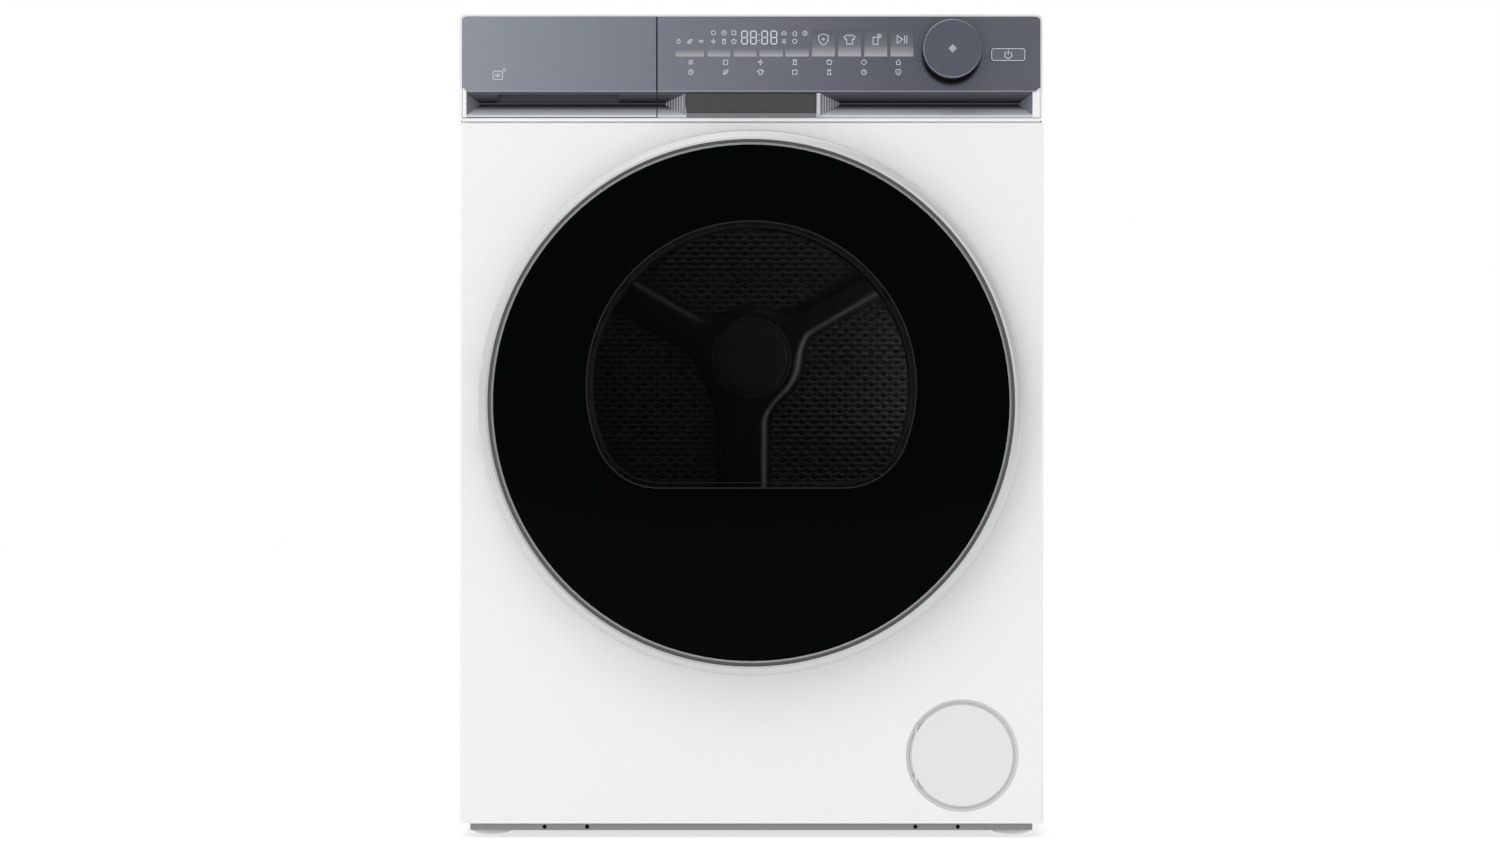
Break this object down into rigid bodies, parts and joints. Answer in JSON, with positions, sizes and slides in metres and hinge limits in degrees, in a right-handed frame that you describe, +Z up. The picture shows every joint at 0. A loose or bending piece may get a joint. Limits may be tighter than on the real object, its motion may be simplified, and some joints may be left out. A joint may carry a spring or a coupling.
{
  "type": "clothes dryer",
  "caption": "Free-standing front-loading tumble dryer with a round tinted glass door, a water-tank drawer, a knob, touch keys and a round service flap.",
  "frame": {"origin": "on the floor, below the middle of the whole machine's box", "axes": "+X to the right seen from the front, +Y from the front to the back, +Z up"},
  "size_m": [0.6, 0.65, 0.845],
  "materials": {
    "white_enamel": "satin white enamel",
    "white_plastic": "satin white moulding",
    "slate_metal": "brushed slate-blue metallic finish",
    "knob_metal": "satin slate metallic",
    "key_lens": "back-lit translucent keys",
    "olive_plate": "dark olive-grey, smooth",
    "satin_silver": "satin silver",
    "black_glass": "black tinted glass with printed border",
    "clear_glass": "clear moulded glass",
    "dark_plastic": "fine-grained dark grey",
    "grey_plastic": "grey moulded plastic",
    "light_grey_plastic": "light grey moulded plastic",
    "tank_plastic": "milky blow-moulded plastic",
    "circuit_board": "solder-masked board",
    "galvanised_steel": "galvanised sheet",
    "steel": "zinc-plated",
    "drum_steel": "satin stainless",
    "motor_casting": "cast housing",
    "black_steel": "black-painted steel shell",
    "coil_aluminium": "fins on tubes",
    "coil_copper": "copper-toned fins on tubes",
    "bronze": "sintered bronze bush",
    "seal_rubber": "matt black-grey rubber",
    "belt_rubber": "ribbed belt",
    "felt": "needle felt"
  },
  "bodies": {
    "cabinet": {"base_pan": "grey_plastic", "side_panel_left": "white_enamel", "side_panel_right": "white_enamel", "rear_panel": "galvanised_steel", "rear_duct_cover": "galvanised_steel", "top_cover": "white_plastic", "front_panel": "white_enamel", "front_bulkhead": "light_grey_plastic", "rear_bulkhead": "galvanised_steel", "fascia_frame": "white_plastic", "control_plate": "slate_metal", "centre_plate": "olive_plate", "touch_keys": "key_lens", "control_board": "circuit_board", "tank_housing": "light_grey_plastic", "door_seal": "seal_rubber", "drum_felt": "felt", "roller_axles": "steel", "shaft_bush": "bronze", "motor_stator": "motor_casting", "compressor": "black_steel", "evaporator": "coil_aluminium", "condenser": "coil_copper", "fan_housing": "light_grey_plastic", "condensate_pump": "grey_plastic", "drain_spigot": "grey_plastic", "cable_gland": "grey_plastic", "door_lock": "white_plastic", "filter_well": "light_grey_plastic", "panel_screws": "steel", "hinge_bracket": "steel", "drive_belt": "belt_rubber"},
    "door": {"door_ring": "satin_silver", "door_glass": "black_glass", "door_frame": "dark_plastic", "door_window": "clear_glass", "door_hinge": "steel", "door_latch": "steel"},
    "drum": {"drum_shell": "drum_steel", "drum_rear_wall": "drum_steel", "drum_hub_cap": "dark_plastic", "drum_lifters": "light_grey_plastic", "drum_shaft": "steel"},
    "fan_rotor": {"motor_rotor": "steel", "blower_wheel": "grey_plastic"},
    "belt_tensioner": {"idler_arm": "steel"},
    "tensioner_pulley": {"idler_pulley": "dark_plastic"},
    "roller_left": {"support_roller_left": "seal_rubber"},
    "roller_right": {"support_roller_right": "seal_rubber"},
    "water_tank": {"tank_body": "tank_plastic", "tank_front": "slate_metal"},
    "lint_filter_drawer": {"lint_filter": "light_grey_plastic"},
    "knob": {"program_knob": "knob_metal"},
    "start_button": {"power_button": "slate_metal"},
    "flap": {"service_flap": "white_plastic"},
    "condenser_cap": {"filter_cap": "light_grey_plastic"},
    "foot_fl": {"foot_front_left": "seal_rubber"},
    "foot_fr": {"foot_front_right": "seal_rubber"},
    "foot_rl": {"foot_rear_left": "seal_rubber"},
    "foot_rr": {"foot_rear_right": "seal_rubber"}
  },
  "joints": [
    {"name": "door_swing", "type": "hinge", "parent": "cabinet", "child": "door", "pos_m": [-0.266, -0.311, 0.446], "axis": [0, 0, -1], "range_deg": [0, 110]},
    {"name": "drum_spin", "type": "hinge", "parent": "cabinet", "child": "drum", "pos_m": [0, 0.015, 0.503], "axis": [0, -1, 0], "continuous": true},
    {"name": "rotor_spin", "type": "hinge", "parent": "cabinet", "child": "fan_rotor", "pos_m": [0.205, 0.13, 0.12], "axis": [0, -1, 0], "continuous": true},
    {"name": "tensioner_swing", "type": "hinge", "parent": "cabinet", "child": "belt_tensioner", "pos_m": [0.062, 0.06, 0.092], "axis": [0, 1, 0], "range_deg": [0, 14], "stiffness_Nm_per_rad": 2, "springref_deg": -8.59},
    {"name": "tensioner_pulley_spin", "type": "hinge", "parent": "belt_tensioner", "child": "tensioner_pulley", "pos_m": [0.11362, 0.04, 0.12681], "axis": [0, -1, 0], "continuous": true},
    {"name": "roller_left_spin", "type": "hinge", "parent": "cabinet", "child": "roller_left", "pos_m": [-0.15265, -0.194, 0.2386], "axis": [0, -1, 0], "continuous": true},
    {"name": "roller_right_spin", "type": "hinge", "parent": "cabinet", "child": "roller_right", "pos_m": [0.15265, -0.194, 0.2386], "axis": [0, -1, 0], "continuous": true},
    {"name": "water_tank_slide", "type": "slide", "parent": "cabinet", "child": "water_tank", "axis": [0, -1, 0], "range_m": [0, 0.42]},
    {"name": "lint_filter_slide", "type": "slide", "parent": "cabinet", "child": "lint_filter_drawer", "axis": [0, 0, 1], "range_m": [0, 0.15]},
    {"name": "knob_turn", "type": "hinge", "parent": "cabinet", "child": "knob", "pos_m": [0.205, -0.3, 0.807], "axis": [0, -1, 0], "continuous": true},
    {"name": "power_button_press", "type": "slide", "parent": "cabinet", "child": "start_button", "axis": [0, 1, 0], "range_m": [0, 0.0013], "stiffness_N_per_m": 600, "springref_m": -0.001},
    {"name": "service_flap_swing", "type": "hinge", "parent": "cabinet", "child": "flap", "pos_m": [0.1693, -0.287, 0.0844], "axis": [0, 0, -1], "range_deg": [0, 95]},
    {"name": "filter_cap_turn", "type": "hinge", "parent": "cabinet", "child": "condenser_cap", "pos_m": [0.2163, -0.24, 0.0844], "axis": [0, -1, 0], "range_deg": [0, 90]},
    {"name": "foot_front_left_adjust", "type": "slide", "parent": "cabinet", "child": "foot_fl", "axis": [0, 0, -1], "range_m": [0, 0.01]},
    {"name": "foot_front_right_adjust", "type": "slide", "parent": "cabinet", "child": "foot_fr", "axis": [0, 0, -1], "range_m": [0, 0.01]},
    {"name": "foot_rear_left_adjust", "type": "slide", "parent": "cabinet", "child": "foot_rl", "axis": [0, 0, -1], "range_m": [0, 0.01]},
    {"name": "foot_rear_right_adjust", "type": "slide", "parent": "cabinet", "child": "foot_rr", "axis": [0, 0, -1], "range_m": [0, 0.01]}
  ],
  "couplings": [
    {"joint": "rotor_spin", "follows": "drum_spin", "ratio": 28.3},
    {"joint": "roller_left_spin", "follows": "drum_spin", "ratio": -12.864},
    {"joint": "roller_right_spin", "follows": "drum_spin", "ratio": -12.864},
    {"joint": "tensioner_pulley_spin", "follows": "drum_spin", "ratio": -17.688}
  ]
}
